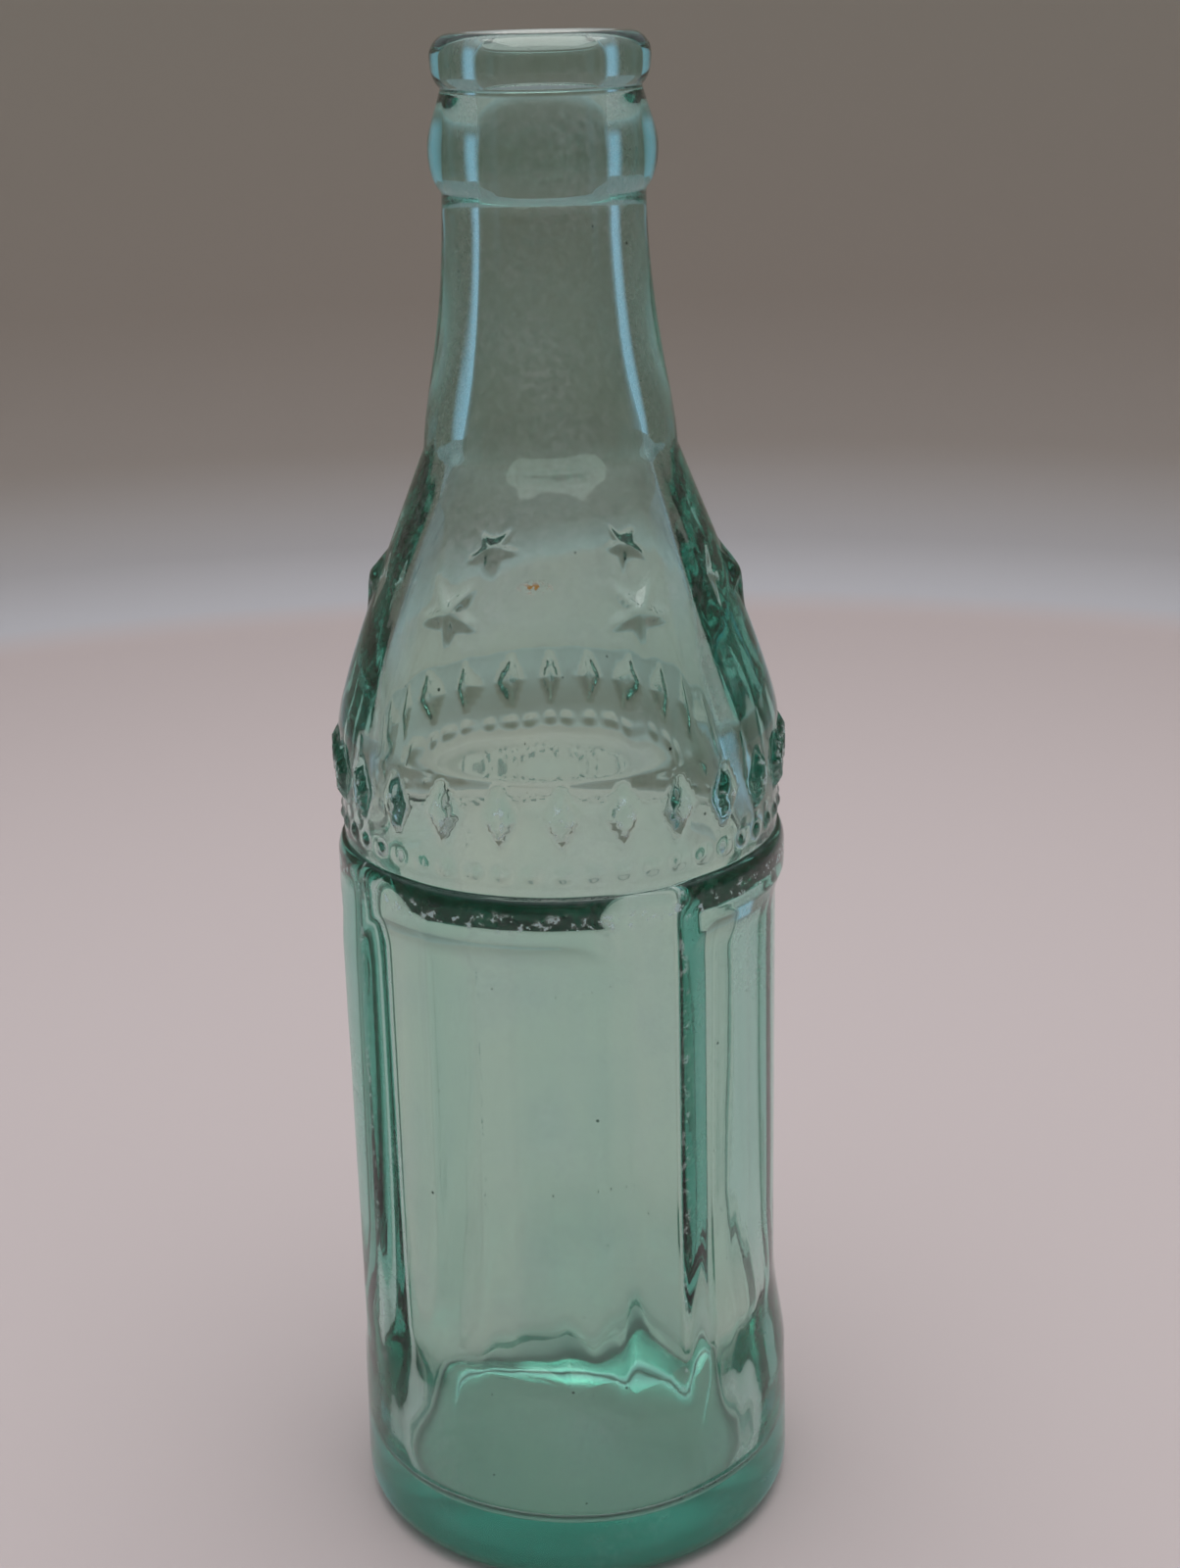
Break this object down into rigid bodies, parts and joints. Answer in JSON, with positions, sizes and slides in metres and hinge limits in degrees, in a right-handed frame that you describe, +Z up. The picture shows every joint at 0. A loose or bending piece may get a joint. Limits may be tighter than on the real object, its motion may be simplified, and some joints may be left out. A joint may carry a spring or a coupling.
{
  "type": "soda bottle",
  "caption": "Empty aqua glass soda bottle with a crown lip and collar, flared neck, star shoulder, ornament band, bead ring, recessed panels and a thick base.",
  "frame": {"origin": "middle of the ring that the bottle stands on", "axes": "+Z up along the bottle's axis towards the mouth, -Y towards the front seen in the picture"},
  "size_m": [0.0606, 0.0606, 0.1984],
  "materials": {
    "aqua_glass": "moulded, glossy, lightly worn",
    "deep_glass": "moulded, glossy, thick and deeper in colour"
  },
  "bodies": {
    "root": {"heel_base": "deep_glass", "panel_body": "aqua_glass", "bead_ring": "aqua_glass", "ornament_band": "aqua_glass", "star_shoulder": "aqua_glass", "neck": "aqua_glass", "crown_collar": "aqua_glass", "crown_lip": "aqua_glass"}
  },
  "joints": []
}
